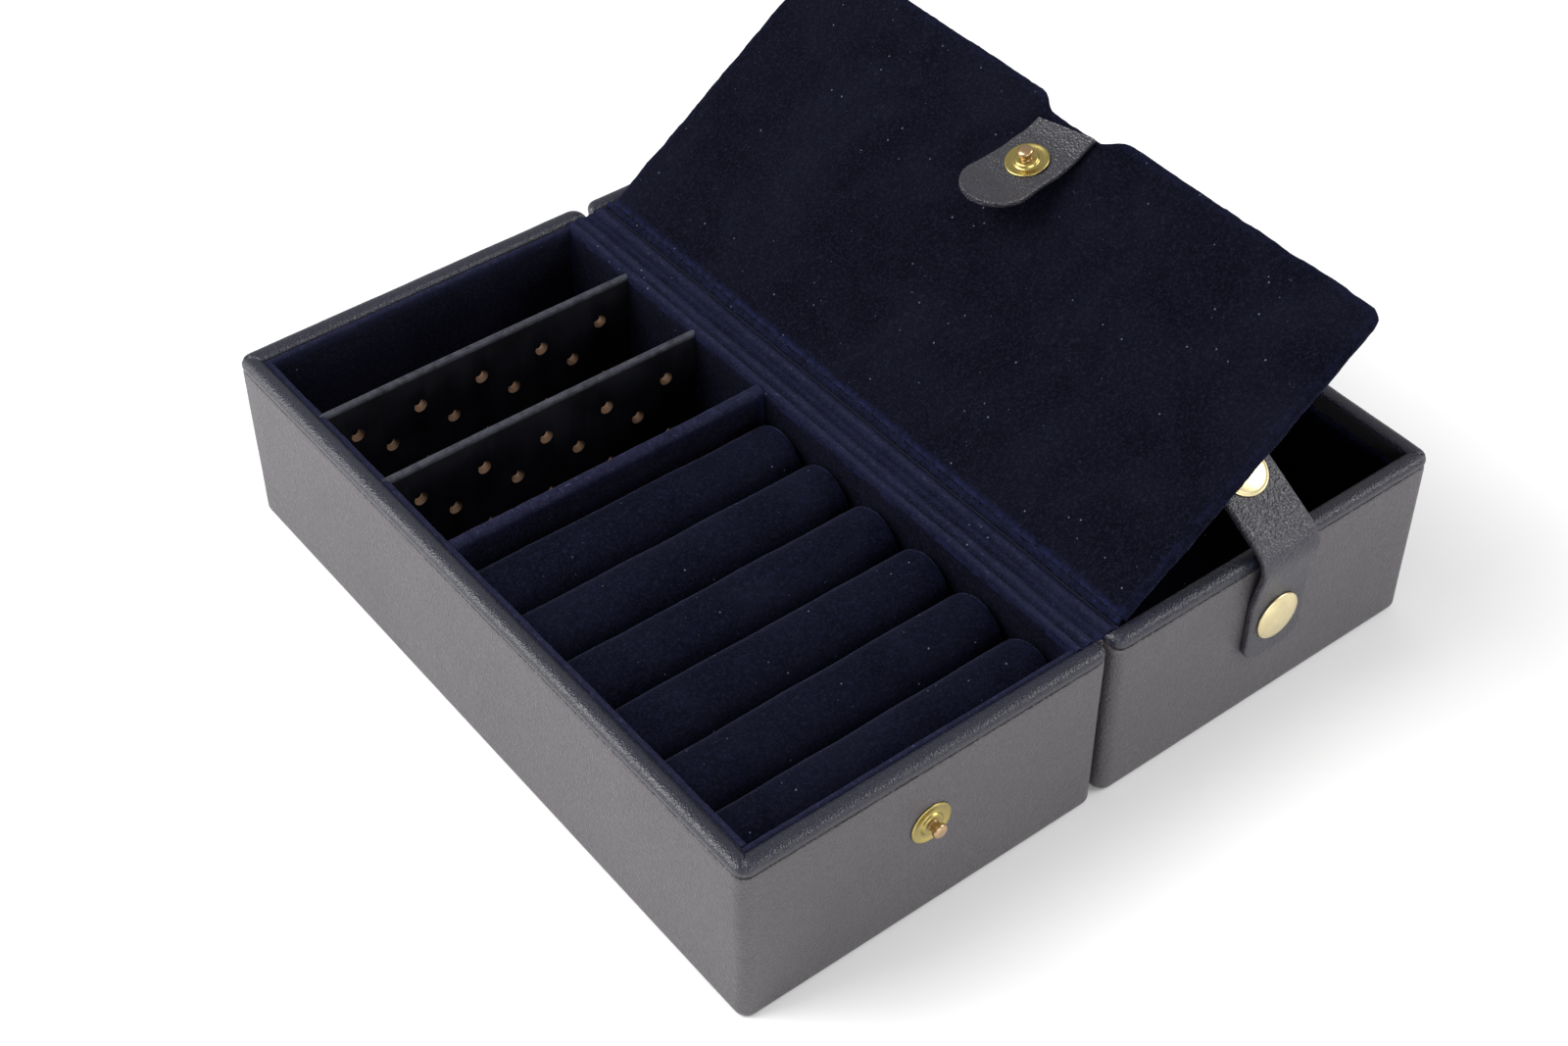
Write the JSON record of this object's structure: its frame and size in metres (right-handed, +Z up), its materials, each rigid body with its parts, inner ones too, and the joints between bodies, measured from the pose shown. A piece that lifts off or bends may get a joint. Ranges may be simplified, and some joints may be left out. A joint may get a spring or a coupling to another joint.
{
  "type": "jewelry box",
  "caption": "Book-style travel jewelry box lying open: ring-roll tray with earring panels, a deep tray under a velvet flap, and snap straps.",
  "frame": {"origin": "centre of the open box's footprint, on the surface it stands on", "axes": "+Y along the spine away from the strap end, +X from the ring tray to the well tray, +Z up"},
  "size_m": [0.1596, 0.1635, 0.0788],
  "materials": {
    "leather": "fine pebbled navy leather, semi-matt",
    "leather_rim": "smooth navy leather turned over the rim",
    "velvet": "short-pile navy velvet",
    "board": "grey-brown bookbinder's board",
    "card": "black covered card with raw punched holes",
    "brass": "polished pale brass",
    "tape": "woven backing tape"
  },
  "bodies": {
    "ring_tray": {"ring_tray_skin": "leather", "ring_tray_rim": "leather_rim", "ring_tray_board_outer": "board", "ring_tray_board_spine": "board", "ring_tray_board_near": "board", "ring_tray_board_far": "board", "ring_tray_board_floor": "board", "ring_tray_lining_outer": "velvet", "ring_tray_lining_spine": "velvet", "ring_tray_lining_near": "velvet", "ring_tray_lining_far": "velvet", "ring_tray_lining_floor": "velvet", "divider": "velvet", "earring_panel_back": "card", "earring_panel_front": "card", "ring_roll_base": "board", "ring_roll_1": "velvet", "ring_roll_2": "velvet", "ring_roll_3": "velvet", "ring_roll_4": "velvet", "ring_roll_5": "velvet", "ring_roll_6": "velvet", "wall_stud": "brass", "wall_stud_rivet": "brass", "spine_leather_left": "leather", "spine_velvet_left": "velvet"},
    "well_tray": {"well_tray_skin": "leather", "well_tray_rim": "leather_rim", "well_tray_board_outer": "board", "well_tray_board_spine": "board", "well_tray_board_near": "board", "well_tray_board_far": "board", "well_tray_board_floor": "board", "well_tray_lining_outer": "velvet", "well_tray_lining_spine": "velvet", "well_tray_lining_near": "velvet", "well_tray_lining_far": "velvet", "well_tray_lining_floor": "velvet", "strap_base": "leather", "strap_rivet_cap": "brass", "strap_rivet_washer": "brass", "inner_strap_root": "leather", "spine_leather_right": "leather", "spine_velvet_right": "velvet"},
    "strap_riser": {"strap_riser": "leather"},
    "strap_tongue": {"strap_tongue": "leather", "snap_cap": "brass", "snap_socket": "brass"},
    "inner_strap": {"inner_strap": "leather", "inner_snap_cap": "brass", "inner_snap_socket": "brass"},
    "hinge_tape": {"flap_hinge_tape": "tape"},
    "hinge_velvet": {"flap_hinge_velvet": "velvet"},
    "flap": {"flap_board": "board", "flap_velvet_front": "velvet", "flap_velvet_back": "velvet", "tab_root": "leather"},
    "tab": {"tab_tongue": "leather", "tab_stud": "brass", "tab_stud_rivet": "brass"}
  },
  "joints": [
    {"name": "tray_fold", "type": "hinge", "parent": "ring_tray", "child": "well_tray", "pos_m": [0, 0.00178, 0.039], "axis": [0, -1, 0], "range_deg": [0, 180], "deforming": ["strap_tongue", "snap_cap", "snap_socket"]},
    {"name": "flap_settle", "type": "hinge", "parent": "well_tray", "child": "hinge_tape", "pos_m": [0.0048, 0.00178, 0.0358], "axis": [0, -1, 0], "range_deg": [-35, 0]},
    {"name": "flap_close", "type": "hinge", "parent": "hinge_tape", "child": "hinge_velvet", "pos_m": [0.0046, 0.00178, 0.039], "axis": [0, -1, 0], "range_deg": [-35, 0]},
    {"name": "flap_open", "type": "hinge", "parent": "hinge_velvet", "child": "flap", "pos_m": [0.0046, 0.00178, 0.039], "axis": [0, 1, 0], "range_deg": [-130, 0]},
    {"name": "tab_press", "type": "hinge", "parent": "flap", "child": "tab", "pos_m": [0.05329, 0.00077, 0.07407], "axis": [0, 1, 0], "range_deg": [-20, 0]},
    {"name": "strap_swing", "type": "hinge", "parent": "well_tray", "child": "strap_riser", "pos_m": [0.0403, -0.07973, 0.028], "axis": [-1, 0, 0], "range_deg": [-90, 0]},
    {"name": "strap_fold", "type": "hinge", "parent": "strap_riser", "child": "strap_tongue", "pos_m": [0.0403, -0.08027, 0.039], "axis": [1, 0, 0], "range_deg": [0, 60]},
    {"name": "inner_strap_swing", "type": "hinge", "parent": "well_tray", "child": "inner_strap", "pos_m": [0.0728, 0.00077, 0.036], "axis": [0, -1, 0], "range_deg": [-110, 0]}
  ],
  "couplings": [
    {"joint": "flap_settle", "follows": "tray_fold", "ratio": -0.19444},
    {"joint": "tab_press", "follows": "tray_fold", "ratio": -0.11111},
    {"joint": "strap_fold", "follows": "tray_fold", "ratio": 0.33333}
  ]
}
